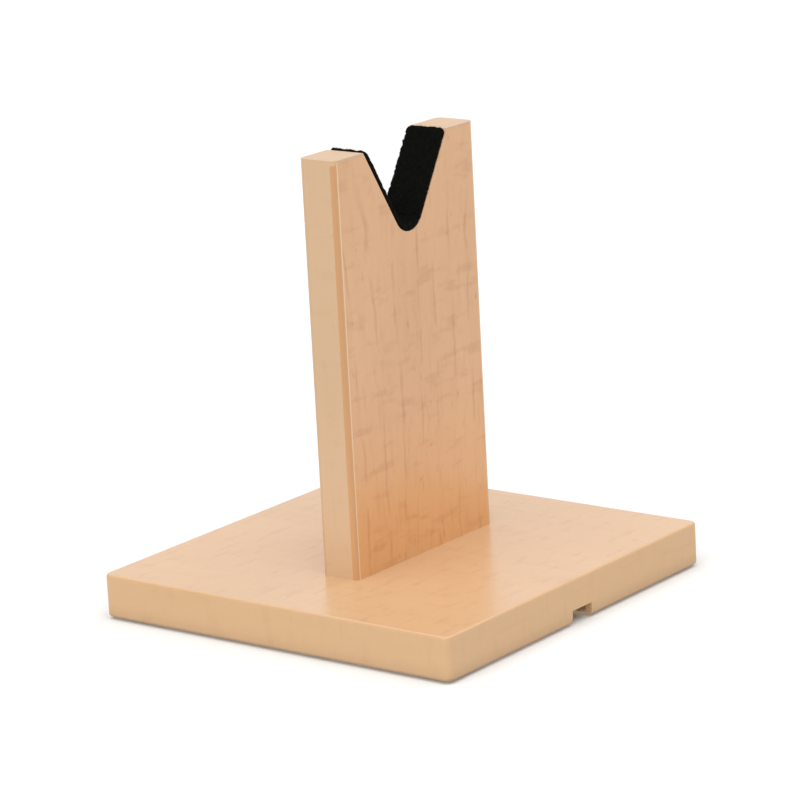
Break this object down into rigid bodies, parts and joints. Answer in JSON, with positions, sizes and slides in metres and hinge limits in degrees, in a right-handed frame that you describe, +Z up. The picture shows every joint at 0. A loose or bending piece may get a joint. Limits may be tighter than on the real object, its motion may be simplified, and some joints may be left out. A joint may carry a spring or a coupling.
{
  "type": "instrument neck rest stand",
  "caption": "Free-standing rest for a stringed instrument's neck: a square base board carries an upright board whose top is cut in a V and lined with felt.",
  "frame": {"origin": "middle of the footprint, on the surface that the stand rests on", "axes": "+Z up; -Y to the front, where the broad face of the upright looks; +X to the right of someone facing the front. An instrument's neck lies in the V along Y."},
  "size_m": [0.175, 0.175, 0.1908],
  "materials": {
    "maple_laminate": "satin maple-look decorative laminate with fine streaks",
    "backing_laminate": "plain matt balancing laminate",
    "edge_band": "maple-look plastic edge band, its cut arris showing the darker plastic",
    "panel_core": "raw particleboard",
    "felt": "black wool felt",
    "dowel_wood": "plain beech",
    "screw_steel": "zinc-plated steel",
    "pad_rubber": "matt dark rubber"
  },
  "bodies": {
    "root": {"base_core": "panel_core", "base_top_laminate": "maple_laminate", "base_bottom_laminate": "backing_laminate", "base_edge_band_front": "edge_band", "base_edge_band_back": "edge_band", "base_edge_band_left": "edge_band", "base_edge_band_right": "edge_band", "foot_pad_front_left": "pad_rubber", "foot_pad_front_right": "pad_rubber", "foot_pad_back_left": "pad_rubber", "foot_pad_back_right": "pad_rubber", "upright_core": "panel_core", "upright_front_laminate": "maple_laminate", "upright_back_laminate": "maple_laminate", "upright_edge_band_left": "edge_band", "upright_edge_band_right": "edge_band", "upright_top_band_left": "edge_band", "upright_top_band_right": "edge_band", "felt_lining": "felt", "joint_dowels": "dowel_wood", "joint_screws": "screw_steel"}
  },
  "joints": []
}
